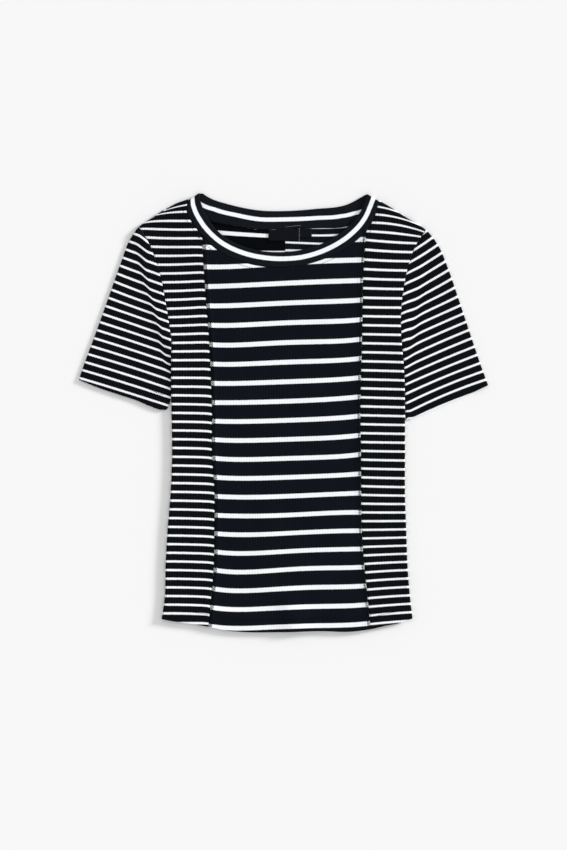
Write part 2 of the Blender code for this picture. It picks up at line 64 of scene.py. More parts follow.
# Body below the armholes: level above the middle, then the side edges and the two
# seams of the centre front panel.
#       level  right side  right seam  left seam  left side
BODY = [
    (60, -148.4, -96.3, 102.6, 158.9),
    (0, -147.9, -94.1, 101.3, 160.4),
    (-50, -147.1, -94.3, 102.2, 160.6),
    (-110, -149.4, -90.7, 102.5, 160.6),
    (-155, -153.1, -91.1, 103.3, 162.2),
    (-205, -155.8, -91.9, 106.8, 164),
    (-245, -156.9, -95.2, 111, 167.3),
]
# Hem line: place across, and level.
HEM_LINE = [
    (-160.8, -272.7), (-143, -276), (-128, -278.2), (-115.4, -279.9),
    (-98.6, -282.8), (-78.5, -287.3), (-50, -289.8), (-4.6, -289.9),
    (51, -288.6), (88, -289.3), (114.8, -286), (134, -281.6),
    (153, -277.8), (170.4, -271.8),
]
SEAM_AT_HEM = {RIGHT: 4, LEFT: 10}  # rows of the hem line
BACK_HEM_SHORTER = 1.0  # so that the front hides it
HEM_DEPTH = 18.0
HEM_STEP = 0.8  # over which the doubled cloth thins to one layer
HEM_STOP = 3.2  # from a rolled edge, where the turn-up stops

# Outline from the neckband's free edge over the shoulder and down the sleeve's outer edge.
#       right x, y       left x, y
TOP_LINE = [
    (-111.5, 289.7, 110.3, 288.6),
    (-125.5, 280.5, 125.6, 279.4),
    (-139.5, 275.6, 140.6, 271),
    (-155.8, 266.9, 154.5, 262.2),
    (-172.6, 257.1, 170, 252.6),
    (-191, 244.9, 188.2, 240.9),
    (-202.2, 229.3, 205, 219.6),
    (-215.5, 195.6, 216.4, 193),
    (-230.9, 152.3, 232.5, 146.3),
    (-246.9, 107.6, 248.2, 99.3),
    (-264.6, 60, 262, 58.6),
    (-270.3, 43.4, 270.3, 36),
]
FREE_EDGE_ROW, NECK_SEAM_ROW, SHOULDER_ROW = 0, 1, 5
# Armhole seam from the shoulder down to the armpit.
#       right x, y       left x, y
ARMHOLE = [
    (-191, 244.9, 188.2, 240.9),
    (-182.8, 232.7, 180.6, 230.4),
    (-175.3, 219, 174, 219.4),
    (-167.9, 198.2, 166.6, 199.6),
    (-161.1, 175, 160.7, 175.8),
    (-156.6, 151, 156.8, 150.6),
    (-153, 130.8, 155, 124.6),
    (-147.8, 95.7, 155.6, 100.6),
]
# Lower edge of the neckband's inner face across the back.
BACK_NECK_SEAM = [
    (-119, 267.5), (-98.3, 253.4), (-67.9, 247.1), (-37.6, 241.8),
    (2.4, 242.7), (44.3, 243.5), (85.2, 246.4), (112, 262),
]
CENTRE_BACK = 2.4
CENTRE_KNOT = 5  # row of the back's neck seam at the centre back


def run_along(curve):
    """How far along the curve each of its points is."""
    steps = np.linalg.norm(np.diff(curve, axis=0), axis=1)
    return np.concatenate([[0], np.cumsum(steps)])


def length(curve):
    return run_along(curve)[-1]


def smooth(points, first=0, last=-1, step=2.0):
    """A smooth curve through the points, from row first to row last, as close points."""
    knots = np.array(points, float)
    at = run_along(knots)
    slope = np.gradient(knots, at, axis=0)
    spans = [np.linspace(a, b, int((b - a) / step) + 3) for a, b in zip(at, at[1:])]
    fine = np.unique(np.concatenate(spans))
    fine = fine[(fine >= at[first]) & (fine <= at[last])]
    i = np.clip(np.searchsorted(at, fine, side="right") - 1, 0, len(at) - 2)
    span = (at[i + 1] - at[i])[:, None]
    s = (fine - at[i])[:, None] / span
    ends = (1 + 2 * s) * (1 - s) ** 2 * knots[i] + s**2 * (3 - 2 * s) * knots[i + 1]
    bends = s * (1 - s) ** 2 * slope[i] + s**2 * (s - 1) * slope[i + 1]
    return ends + span * bends


def fade(away, near, far):
    """1 up to near, 0 from far, and a smooth slope between them."""
    share = np.clip((far - away) / (far - near), 0, 1)
    return share**2 * (3 - 2 * share)


def columns(table, *places):
    return [tuple(row[place] for place in places) for row in table]


def beside(curve, far, at_ends=1.0):
    """The curve moved sideways, to the left of the way it runs, at_ends times as far there."""
    along = np.gradient(curve, axis=0)
    across = np.stack([-along[:, 1], along[:, 0]], axis=1)
    run = run_along(curve)
    end = fade(np.minimum(run, run[-1] - run), *END_REACH)
    moved = far * (1 + (at_ends - 1) * end)
    return curve + (moved / np.linalg.norm(across, axis=1))[:, None] * across


def path(*stretches, knots=(0, 1)):
    """One edge of a piece as a function of 0 to 1, with each stretch between two knots."""
    places, points = [], []
    for stretch, start, end in zip(stretches, knots, knots[1:]):
        run = run_along(stretch)
        places.append(start + (end - start) * run / run[-1])
        points.append(stretch)
    places, points = np.concatenate(places), np.concatenate(points)

    def at(t):
        return np.stack([np.interp(t, places, points[:, i]) for i in (0, 1)], axis=-1)

    return at


def between(left, right, bottom, top, u, v):
    """Points of a sheet spanned by two sides, u across and v up, with curved ends."""
    over, up = u[..., None], v[..., None]

    def bulge(end):
        return end(u) - (1 - over) * end(0) - over * end(1)

    sides = (1 - over) * left(v) + over * right(v)
    return sides + (1 - up) * bulge(bottom) + up * bulge(top)


AT_ROLL = (0.0, 0.1, 0.3, 0.6, 1.0, 1.5, 2.1, 2.8, 3.8, 5.2)  # lines close to a rolled edge
AT_SEAM = (0.0, 0.5, 1.1, 1.9, 3.0)
AT_HEM = (0.0, 0.4, 1.2, 3.0)


def lines(start, end, size):
    """Grid lines over a size, as shares of it: close near each end, a cell apart between."""
    middle = int((size - start[-1] - end[-1]) / CELL) + 2
    start, end = np.array(start) / size, 1 - np.array(end)[::-1] / size
    return np.concatenate([start, np.linspace(start[-1], end[0], middle)[1:-1], end])


def distance(at, curves):
    """How far each point is from the nearest of the curves."""
    nearest = np.full(at.shape[:-1], np.inf)
    for curve in curves:
        for a, b in zip(curve, curve[1:]):
            step = b - a
            share = np.clip(((at - a) @ step) / max(step @ step, 1e-12), 0, 1)
            gap = at - a - share[..., None] * step
            nearest = np.minimum(nearest, np.hypot(gap[..., 0], gap[..., 1]))
    return nearest


def shoulder_to_shoulder(row, points):
    """The points, with those in a row of the outline at both ends."""
    return [top_knots[RIGHT][row]] + points + [top_knots[LEFT][row]]


def side_line(side, armpit):
    place, hem = (1, HEM_LINE[0]) if side == RIGHT else (4, HEM_LINE[-1])
    return smooth([hem] + [(row[place], row[0]) for row in reversed(BODY)] + [armpit])


top_knots = {side: columns(TOP_LINE, *side) for side in BOTH}
back_knots = shoulder_to_shoulder(NECK_SEAM_ROW, BACK_NECK_SEAM)
top_line = {side: smooth(top_knots[side]) for side in BOTH}
shoulder = {side: smooth(top_knots[side], NECK_SEAM_ROW, SHOULDER_ROW) for side in BOTH}
neck_fold = {side: smooth(top_knots[side], FREE_EDGE_ROW, NECK_SEAM_ROW) for side in BOTH}
armhole = {side: smooth(columns(ARMHOLE, *side)) for side in BOTH}
body_armhole = {
    side: beside(armhole[side], -OUTWARDS[side] * SEAM_GAP / 2, ARMHOLE_END)[::-1]
    for side in BOTH
}
side_edge = {side: side_line(side, body_armhole[side][0]) for side in BOTH}
back_neck_run = {
    RIGHT: smooth(back_knots, 0, CENTRE_KNOT),
    LEFT: smooth(back_knots, CENTRE_KNOT)[::-1],
}
hem_line = smooth(HEM_LINE)
BODY_ROLLS = list(top_line.values()) + list(side_edge.values())

ROLL = 2.6  # outer radius of the roll between front and back
NECK_ROLL = 3.2  # the same where the double neckband turns over
NECK_ROLL_REACH = 25.0


def roll_radius(at):
    corners = distance(at, neck_fold.values())
    return ROLL + (NECK_ROLL - ROLL) * np.exp(-((corners / NECK_ROLL_REACH) ** 2))


def round_share(off, radius):
    """How far up a roll's quarter circle a point is, by how far it is in from the edge."""
    return np.sqrt(1 - (1 - np.minimum(off / radius, 1)) ** 2)


def lower(at, rolls, lip=0.0):
    """Height of the outer face of the layer on the surface, flat but for the rolls."""
    radius = roll_radius(at)
    return (radius - lip) * (1 - round_share(distance(at, rolls), radius))


def stripe_number(across, level, table, places, bend=2):
    """Which stripe each point is on, in parts of one. A row of the table holds a stripe's
    number and its levels at the places across, and bend is the power of their curve."""
    numbers = [row[0] for row in table]
    levels = [np.polyval(np.polyfit(places, row[1:], bend), across) for row in table]
    number = None
    for low, high, a, b in zip(numbers, numbers[1:], levels, levels[1:]):
        here = low + (high - low) * (level - a) / (b - a)
        number = here if number is None else np.where(level > a, here, number)
    return number


def feed(tree, node, inputs):
    """Links a node's inputs, or sets them."""
    for socket, value in inputs.items():
        if isinstance(value, bpy.types.NodeSocket):
            tree.links.new(value, node.inputs[socket])
        else:
            node.inputs[socket].default_value = value


def add(tree, kind, inputs=None, out=0, **settings):
    """Adds a node with its settings and links, and gives one of its outputs."""
    node = tree.nodes.new(kind)
    for name, value in settings.items():
        setattr(node, name, value)
    feed(tree, node, inputs or {})
    return node.outputs[out]


def new_material(name):
    """A material, its node tree and shader, and the places on the piece, in metres."""
    material = bpy.data.materials.new(name)
    material.use_nodes = True
    tree = material.node_tree
    place = add(tree, "ShaderNodeTexCoord", out="Object")
    return material, tree, tree.nodes["Principled BSDF"], place


def colour(code):
    """An sRGB hex colour as linear red, green, blue and alpha."""
    parts = np.array([int(code[i : i + 2], 16) / 255 for i in (1, 3, 5)])
    linear = np.where(parts <= 0.04045, parts / 12.92, ((parts + 0.055) / 1.055) ** 2.4)
    return (*linear, 1.0)


COLOURS = {"out": "Result", "data_type": "RGBA"}  # makes a mix node one of two colours

RIB = 2.1  # from one rib of the jersey to the next
COURSE = 1.05  # rows of stitches; the real ones, at half of it, are too fine to show
NARROW_PITCH, NARROW_WHITE = 11.5, 2.8
WIDE_PITCH, WIDE_WHITE, WIDE_WHITE_INSIDE = 25.0, 5.9, 5.4
TOOTH = 0.5  # how far the ribs notch a stripe's edge
EDGE_SOFT = 0.2  # half the width over which white turns to navy
# Each navy as a pair: painted shade in the furrows between the ribs, and the navy on the ribs.
BLUE_NAVY = ("#020509", "#10151D")  # painted shade between the ribs, and the navy on them
PLAIN_NAVY = ("#000102", "#0D1014")
# Darker for the back's inside: partly the duller reverse of the rib, and partly painted shade where
# the neck shades it.
INSIDE_NAVY = ("#000001", "#04070B")
JERSEY_WHITE, JERSEY_WHITE_SHADE = "#F0F1F3", "#D9DCE2"


def rib_jersey(name, pitch, white, navies):
    """Viscose rib jersey, knitted in stripes of dyed yarn. Matt and soft: ribs run down it
    and notch the edges of the white stripes. Shade is painted into its colour: darker in
    the furrows between the ribs, and in faint lines along the rows of stitches on the white."""
    material, tree, shader, place = new_material(name)
    math, noise, mix = "ShaderNodeMath", "ShaderNodeTexNoise", "ShaderNodeMix"
    stripe = add(tree, "ShaderNodeAttribute", out="Fac", attribute_name="stripe")
    wale = add(tree, "ShaderNodeAttribute", out="Fac", attribute_name="wale")

    turns = add(tree, math, {0: wale, 1: 2 * np.pi / RIB}, operation="MULTIPLY")
    wave = add(tree, math, {0: turns}, operation="COSINE")
    ridge = add(tree, math, {0: wave, 1: 0.5, 2: 0.5}, operation="MULTIPLY_ADD")
    rows = add(tree, math, {0: stripe, 1: 2 * np.pi * pitch / COURSE}, operation="MULTIPLY")
    stitch = add(tree, math, {0: rows}, operation="SINE")

    uneven = add(tree, noise, {"Vector": place, "Scale": 260.0, "Detail": 3.0}, out="Fac")
    broad = add(tree, noise, {"Vector": place, "Scale": 22.0, "Detail": 2.0}, out="Fac")

    off = add(tree, math, {0: stripe, 1: 0.5}, operation="PINGPONG")
    notch = add(tree, math, {0: wave, 1: TOOTH / 2 / pitch}, operation="MULTIPLY")
    ragged = add(tree, math, {0: uneven, 1: 0.5 / pitch, 2: -0.25 / pitch}, operation="MULTIPLY_ADD")
    edge = add(tree, math, {0: notch, 1: ragged}, operation="ADD")
    edge = add(tree, math, {0: edge, 1: white / 2 / pitch}, operation="ADD")
    inside = add(tree, math, {0: edge, 1: off}, operation="SUBTRACT")
    soft = {"Value": inside, "From Min": -EDGE_SOFT / pitch, "From Max": EDGE_SOFT / pitch}
    is_white = add(tree, "ShaderNodeMapRange", soft, interpolation_type="SMOOTHSTEP")

    # Painted shade: the navy darkens in the furrows between the ribs, and the broad noise adds tone
    # that differs at random.
    lit = add(tree, math, {0: ridge, 1: 0.55, 2: 0.1}, operation="MULTIPLY_ADD")
    lit = add(tree, math, {0: broad, 1: 0.4, 2: lit}, operation="MULTIPLY_ADD", use_clamp=True)
    dark, light = colour(navies[0]), colour(navies[1])
    navy = add(tree, mix, {"Factor": lit, "A": dark, "B": light}, **COLOURS)
    # Painted shade on the white: greyer along the rows of stitches and in the furrows between the
    # ribs.
    shade = add(tree, math, {0: stitch, 1: 0.28, 2: 0.3}, operation="MULTIPLY_ADD")
    shade = add(tree, math, {0: wave, 1: -0.12, 2: shade}, operation="MULTIPLY_ADD", use_clamp=True)
    dark, light = colour(JERSEY_WHITE_SHADE), colour(JERSEY_WHITE)
    yarn = add(tree, mix, {"Factor": shade, "A": light, "B": dark}, **COLOURS)
    cloth = add(tree, mix, {"Factor": is_white, "A": navy, "B": yarn}, **COLOURS)

    relief = add(tree, math, {0: stitch, 1: 0.25, 2: ridge}, operation="MULTIPLY_ADD")
    relief = add(tree, math, {0: uneven, 1: 0.5, 2: relief}, operation="MULTIPLY_ADD")
    raised = {"Height": relief, "Strength": 0.6, "Distance": 0.25 * MM}
    look = {
        "Base Color": cloth,
        "Normal": add(tree, "ShaderNodeBump", raised),
        "Roughness": 0.9,
        "Specular IOR Level": 0.05,
        "Sheen Weight": 0.004,
        "Sheen Roughness": 0.5,
    }
    feed(tree, shader, look)
    return material


narrow_inside = rib_jersey("narrow_striped_inside", NARROW_PITCH, NARROW_WHITE, BLUE_NAVY)
wide_inside = rib_jersey("wide_striped_inside", WIDE_PITCH, WIDE_WHITE_INSIDE, INSIDE_NAVY)


def new_piece(name, points, faces, material):
    mesh = bpy.data.meshes.new(name)
    mesh.from_pydata((points * MM).reshape(-1, 3).tolist(), [], faces)
    mesh.shade_smooth()
    mesh.materials.append(material)
    piece = bpy.data.objects.new(name, mesh)
    bpy.context.scene.collection.objects.link(piece)
    return piece


def mesh_of(name, points, material, flip=False, ring=False, loop=False, **values):
    """A mesh from a grid of points, joined up across for a ring and up for a loop."""
    rows, across = points.shape[:2]
    index = np.arange(rows * across).reshape(rows, across)
    if ring:
        index = np.hstack([index, index[:, :1]])
    if loop:
        index = np.vstack([index, index[:1]])
    corners = index[:-1, :-1], index[:-1, 1:], index[1:, 1:], index[1:, :-1]
    quads = np.stack(corners, axis=-1).reshape(-1, 4)
    piece = new_piece(name, points, quads.tolist(), material)
    if flip:
        piece.data.flip_normals()
    for key, numbers in values.items():
        layer = piece.data.attributes.new(key, "FLOAT", "POINT")
        layer.data.foreach_set("value", np.asarray(numbers, np.float32).ravel())
    return piece


def give_wall(piece, walls):
    """Thickness for an open sheet of cloth, on its inner side."""
    group = piece.vertex_groups.new(name="wall")
    for thick in np.unique(walls):
        group.add(np.flatnonzero(walls.ravel() == thick).tolist(), thick / walls.max(), "REPLACE")
    wall = piece.modifiers.new("wall", "SOLIDIFY")
    wall.thickness = walls.max() * MM
    wall.offset = -1
    wall.vertex_group = "wall"


def walls_with_hem(at, hem, depth, rolls):
    """One layer, and two in the hem, whose turn-up stops short of the rolled edges."""
    doubled = (distance(at, [hem]) < depth + HEM_STEP / 2) & (distance(at, rolls) > HEM_STOP)
    return np.where(doubled, HEM, JERSEY)


def with_height(at, height):
    return np.concatenate([at, height[..., None]], axis=-1)


ARMPIT = 0.70  # share of a body panel's outer edge that lies below the armpit
NECK_START = 0.42  # share of a back panel's top edge that is shoulder

# Wide stripes on the inside of the right half, and narrow ones on the left half.
#       number, level at each place across
BACK_WIDE_AT = (-88, -20, 2)
BACK_WIDE = [(0, -265, -265, -265), (19, 213.4, 211.1, 211.2), (20, 237.9, 233.4, 232.5)]
BACK_NARROW_AT = (2, 30, 55, 82)
BACK_NARROW = [
    (0, -265, -265, -265, -265),
    (42, 214.2, 213.8, 213.3, 212.9),
    (43, 224.9, 223.6, 222.7, 222.9),
    (44, 234.5, 234.1, 234, 235.6),
    (45, 245.4, 244.1, 243.8, 245.5),
]
CLOSED = 0.06  # the centre back seam, closer than the others so that no light comes through


def outer_path(side):
    """Side edge and armhole from the hem up to the shoulder, clear of the sleeve."""
    return path(side_edge[side], body_armhole[side], knots=(0, ARMPIT, 1))


def body_rows(side, top):
    """Rows of a body panel from the hem up to the shoulder, with one at the armpit."""
    below = lines(AT_HEM, (0.0,), length(side_edge[side])) * ARMPIT
    above = lines((0.0,), top, length(armhole[side]))
    return np.concatenate([below, ARMPIT + (1 - ARMPIT) * above[1:]])


def back_half(word, side, material, table, places):
    out = OUTWARDS[side]
    half = hem_line[(hem_line[:, 0] - CENTRE_BACK) * out > 0][::-out]
    sewn = beside(back_neck_run[side], out * SEAM_GAP / 2)
    edge = CENTRE_BACK + out * CLOSED / 2
    sewn[-1, 0] = edge
    hem = np.vstack([half, [edge, half[-1, 1]]]) + [0, BACK_HEM_SHORTER]
    inner = path(np.array([hem[-1], sewn[-1]]))
    top = path(shoulder[side][::-1], sewn, knots=(0, NECK_START, 1))
    u, v = np.meshgrid(lines(AT_ROLL, AT_SEAM, length(hem)), body_rows(side, AT_ROLL))
    at = between(outer_path(side), inner, path(hem), top, u, v)
    points = with_height(at, lower(at, BODY_ROLLS, SEAM_GAP / 2))
    piece = mesh_of(
        f"back_{word}_cloth",
        points,
        material,
        flip=side == RIGHT,
        stripe=stripe_number(at[..., 0], at[..., 1], table, places, bend=len(places) - 1),
        wale=at[..., 0],
    )
    give_wall(piece, walls_with_hem(at, hem, HEM_DEPTH, BODY_ROLLS))
    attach(piece, "root")
    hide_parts(f"back_{word}")
    return piece


back_right = back_half("right", RIGHT, wide_inside, BACK_WIDE, BACK_WIDE_AT)
back_left = back_half("left", LEFT, narrow_inside, BACK_NARROW, BACK_NARROW_AT)


# The front ----------------------------
# A centre panel in wide stripes between two side panels in narrow ones, joined by
# princess seams whose allowances are stitched down under the centre panel. The panels
# lie on the back, and roll down to it at the side seams and the shoulders.

LAID = 3.4  # top of two loose layers
HEM_LAID = 4.9  # top of two hems
HEM_FADE, ROLL_FADE = 16.0, 14.0  # how far the cloth's rise at a hem or a roll runs in
NECK_LIFT = 1.0  # the doubled band holds the front neckline up by this much
NECK_LIFT_REACH = (21.0, 60.0)
CORNER_LIFT = 1.1  # and by this much more where it lies on the back of itself
CORNER_LIFT_REACH = (58.0, 100.0)
SEAM_DIP, SEAM_DIP_WIDTH = 0.5, 1.3  # how far the cloth sinks into a seam
ALLOWANCE = (5.0, 7.5)  # where the seam allowance under the centre panel thins out
ALLOWANCE_LIFT = 0.45

# The two seams of the centre panel, above the armpits.
#       level  right seam  left seam
YOKE = [(218, -106.4, 107.5), (180, -104.4, 105.2), (142, -101.6, 104.4), (100, -98.1, 103.6)]
# Seam of the neckband across the front, right shoulder to left.
FRONT_NECK_SEAM = [
    (-127.6, 267), (-115.4, 243.8), (-107, 233), (-87.8, 214.8),
    (-48.6, 197.2), (2, 191.4), (53, 202.4), (94.3, 225.1),
    (109.2, 239.4), (120.8, 259.9),
]
SEAM_AT_NECK = {RIGHT: 3, LEFT: 9}  # rows, once the shoulder is put in front
SEAM_TOP = 0.88  # share of a side panel's edge where the princess seam meets the neckband

# Soft folds: three points that each runs through, its width and its height.
#       x, y            x, y            x, y           width  height
FOLDS = [
    (-186.5, 205, -179.5, 160, -162, 100, 6.5, 2),  # right sleeve, by the armhole
    (181.5, 192, 178, 140, 181, 104, 7, 1.1),  # left sleeve, by the armhole
    (-243, 90, -214, 70, -180, 58, 12, 0.8),  # right sleeve, above the hem
    (240, 84, 212, 62, 184, 46, 12, 0.8),  # left sleeve, above the hem
    (-140, 92, -112, 112, -60, 118, 16, 0.9),  # from the right armpit
    (148, 92, 118, 112, 62, 116, 16, 0.8),  # from the left armpit
    (-132, -80, -118, -120, -122, -165, 14, 0.8),  # right waist
    (140, -70, 126, -115, 131, -160, 14, 0.8),  # left waist
    (-30, -120, -18, -170, -26, -225, 20, 0.7),  # down the centre front
    (12, -300, 13, -275, 6, -250, 17, 2.8),  # wave in the hem
    (48, 90, 40, 30, 52, -30, 22, 0.6),  # left of the centre front
]

# Wide stripes of the centre panel.
#       number, level at each place across
CENTRE_AT = (-85, -44, 2, 48, 94)
CENTRE_STRIPES = [
    (0, -283.5, -284.4, -282.4, -281.2, -279.9),
    (3, -208.8, -210.4, -207.4, -205.3, -204.5),
    (6, -135.9, -136.7, -135.6, -133.3, -131.9),
    (9, -60.9, -62, -60.7, -59.3, -56.2),
    (12, 13, 13.4, 14.7, 16.7, 20.1),
    (15, 89, 89.8, 92.2, 93.4, 95.7),
    (18, 166.6, 168.3, 170.5, 172.4, 173.9),
    (20, 217.5, 219.3, 223.4, 226.8, 228.2),
]
# Narrow stripes of the two side panels.
RIGHT_SIDE_AT = (-185, -145, -123, -105)
RIGHT_SIDE_STRIPES = [
    (-1, -278.2, -278.2, -277.8, -278),
    (0, -265.2, -265.1, -265, -266.1),
    (10, -150.8, -150.8, -151.6, -151.8),
    (20, -35.5, -35.5, -35.1, -36.1),
    (25, 22.5, 22.5, 22.7, 22),
    (30, 80.6, 80.6, 80.6, 81.2),
    (35, 137.2, 137.2, 138, 139.4),
    (40, 195.4, 195.4, 195.6, 197),
    (42, 219.3, 218.3, 218.2, 218.7),
    (44, 243.4, 241.2, 241.4, 241.8),
    (45, 253.6, 252.8, 252.5, 252.8),
    (46, 264, 265, 265.1, 265.4),
    (47, 264.6, 271.9, 275.6, 278.4),
]
LEFT_SIDE_AT = (117, 135, 154, 180)
LEFT_SIDE_STRIPES = [
    (0, -267.5, -265.7, -264.5, -262.7),
    (5, -210.4, -209.2, -208.2, -207.2),
    (10, -154.8, -154.7, -154.2, -153.7),
    (15, -97.6, -98.2, -98.4, -98.7),
    (20, -39.3, -39.6, -39.8, -39.9),
    (25, 19.6, 19.2, 18.5, 17.8),
    (30, 79.3, 79.1, 78.2, 77.3),
    (35, 138.8, 138.4, 138.4, 138.3),
    (40, 201.2, 200.2, 199.9, 199.6),
    (42, 227, 225.3, 224.3, 223.4),
    (44, 250.6, 249.2, 247.5, 241.1),
    (46, 272.8, 270.8, 267, 260.2),
]
# How far the stripes drop where they turn over the shoulder, and by the right seam.
SHOULDER_DROP, SHOULDER_REACH = 3.2, 4.5
SEAM_DROP, SEAM_REACH = 1.1, 4.0
CENTRE_CUT = (222.0, 520.0)
SIDE_CUT = (110.0, 566.0)

neck_knots = shoulder_to_shoulder(NECK_SEAM_ROW, FRONT_NECK_SEAM)


def princess_line(side):
    """One of the two seams of the centre front, from the hem to the neckband."""
    body, yoke = (2, 1) if side == RIGHT else (3, 2)
    low = [(row[body], row[0]) for row in reversed(BODY)]
    high = [(row[yoke], row[0]) for row in reversed(YOKE)]
    hem, neck = HEM_LINE[SEAM_AT_HEM[side]], neck_knots[SEAM_AT_NECK[side]]
    return smooth([hem] + low + high + [neck])


princess = {side: princess_line(side) for side in BOTH}
front_neck_seam = smooth(neck_knots)
scoop = smooth(neck_knots, *SEAM_AT_NECK.values())
neck_run = {
    RIGHT: smooth(neck_knots, 0, SEAM_AT_NECK[RIGHT])[::-1],
    LEFT: smooth(neck_knots, SEAM_AT_NECK[LEFT]),
}
hem_run = {
    RIGHT: smooth(HEM_LINE, 0, SEAM_AT_HEM[RIGHT]),
    LEFT: smooth(HEM_LINE, SEAM_AT_HEM[LEFT])[::-1],
}


def folds(at):
    height = np.zeros(at.shape[:-1])
    for *points, width, top in FOLDS:
        run = smooth(list(zip(points[::2], points[1::2])), step=8.0)
        height += top * np.exp(-((distance(at, [run]) / width) ** 2))
    return height


def hem_lift(at, hem, depth):
    return (HEM_LAID - LAID) * fade(distance(at, [hem]), depth, depth + HEM_FADE)


def neck_lift(at):
    """How far the doubled band holds up the front, most where it lies on its own back."""
    band = fade(distance(at, [front_neck_seam]), *NECK_LIFT_REACH)
    corner = fade(distance(at, neck_fold.values()), *CORNER_LIFT_REACH)
    return band * (NECK_LIFT + CORNER_LIFT * corner)


def upper(at, rolls, lift, lip=0.0):
    """Height of the outer face of the layer on top, which rolls down at the rolls."""
    radius, off = roll_radius(at), distance(at, rolls)
    flat = LAID + lift
    rise = np.maximum(2 * radius, flat) - flat
    crown = flat + rise * np.exp(-np.maximum(off - radius, 0) / ROLL_FADE)
    foot = radius + lip
    return foot + (crown - foot) * round_share(off, radius)


def into_seam(at, seams):
    """How far the cloth sinks where it is drawn into the seams."""
    return SEAM_DIP * np.exp(-((distance(at, seams) / SEAM_DIP_WIDTH) ** 2))


def front_face(at, on_centre):
    """Height of the front's outer face, with the seams' allowances under the centre."""
    lift = folds(at) + hem_lift(at, hem_line, HEM_DEPTH) + neck_lift(at)
    seams = [princess[RIGHT], princess[LEFT]]
    if on_centre:
        lift = lift + ALLOWANCE_LIFT * fade(distance(at, seams), *ALLOWANCE)
    height = upper(at, BODY_ROLLS, lift, SEAM_GAP / 2)
    return height - into_seam(at, seams + [armhole[RIGHT], armhole[LEFT], front_neck_seam])


wide_jersey = rib_jersey("wide_striped_rib_jersey", WIDE_PITCH, WIDE_WHITE, BLUE_NAVY)
narrow_jersey = rib_jersey("narrow_striped_rib_jersey", NARROW_PITCH, NARROW_WHITE, PLAIN_NAVY)


def front_panel(name, points, at, material, table, places, cut, bend=2, flip=False):
    drop = SHOULDER_DROP * np.exp(-distance(at, shoulder.values()) / SHOULDER_REACH)
    if name == "front_side_right":
        drop = drop + SEAM_DROP * np.exp(-distance(at, [princess[RIGHT]]) / SEAM_REACH)
    piece = mesh_of(
        f"{name}_cloth",
        points,
        material,
        flip=flip,
        stripe=stripe_number(at[..., 0], at[..., 1] + drop, table, places, bend),
        wale=at[..., 0],
    )
    give_wall(piece, walls_with_hem(at, hem_line, HEM_DEPTH, BODY_ROLLS))
    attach(piece, "root")
    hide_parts(name)


left_edge = path(beside(princess[RIGHT], -SEAM_GAP / 2))
right_edge = path(beside(princess[LEFT], SEAM_GAP / 2))
lower_edge = path(smooth(HEM_LINE, *SEAM_AT_HEM.values()))
upper_edge = path(beside(scoop, -SEAM_GAP / 2))
u, v = np.meshgrid(
    lines(AT_SEAM, AT_SEAM, length(scoop)), lines(AT_HEM, AT_SEAM, length(princess[RIGHT]))
)
at = between(left_edge, right_edge, lower_edge, upper_edge, u, v)
points = with_height(at, front_face(at, on_centre=True))
bend = len(CENTRE_AT) - 1
front_panel("front_centre", points, at, wide_jersey, CENTRE_STRIPES, CENTRE_AT, CENTRE_CUT, bend)

SIDE_STRIPES = {
    RIGHT: (RIGHT_SIDE_STRIPES, RIGHT_SIDE_AT),
    LEFT: (LEFT_SIDE_STRIPES, LEFT_SIDE_AT),
}
for word, side in SIDES.items():
    gap = -OUTWARDS[side] * SEAM_GAP / 2
    inner = path(
        beside(princess[side], gap), beside(neck_run[side], gap), knots=(0, SEAM_TOP, 1)
    )
    ends = path(hem_run[side]), path(shoulder[side][::-1])
    widest = length(shoulder[side])
    u, v = np.meshgrid(lines(AT_ROLL, AT_SEAM, widest), body_rows(side, AT_ROLL))
    at = between(outer_path(side), inner, *ends, u, v)
    points = with_height(at, front_face(at, on_centre=False))
    name, flip = f"front_side_{word}", side == LEFT
    front_panel(name, points, at, narrow_jersey, *SIDE_STRIPES[side], SIDE_CUT, flip=flip)


# The sleeves --------------------------
# Short set-in sleeves, each one piece in narrow stripes sewn into a tube, pressed flat.
# The underarm seam lies beside the body. By the armhole the cloth buckles into a soft
# fold, and the stripes slip down as they cross it.

SLEEVE_HEM_DEPTH = 22.0
SLEEVE_FLAT, SLEEVE_FLAT_REACH = 0.54, (3.0, 24.0)  # as high as the body at the armhole only
# Underarm seam: it keeps beside the body at these levels, just clear of it, and then turns
# to the hem.
UNDERARM_LEVELS = (84, 70, 56, 42, 28, 18)
UNDERARM_CLEAR = 0.2
UNDERARM_END = {
    RIGHT: [(-150.6, 11.5), (-152.4, 6.6), (-155, 3.6)],
    LEFT: [(160.9, 6), (161.1, -3), (162, -10.6)],
}
SLEEVE_HEM_LINE = [
    (-270.3, 43.4, 270.3, 36),
    (-254, 36.4, 251.7, 27.2),
    (-214.6, 22.7, 212, 10),
    (-194.6, 16.2, 192, 1.2),
    (-174.2, 7.6, 172.2, -6.9),
    (-162, 3.7, 167, -9),
    (-155, 3.6, 162, -10.6),
]
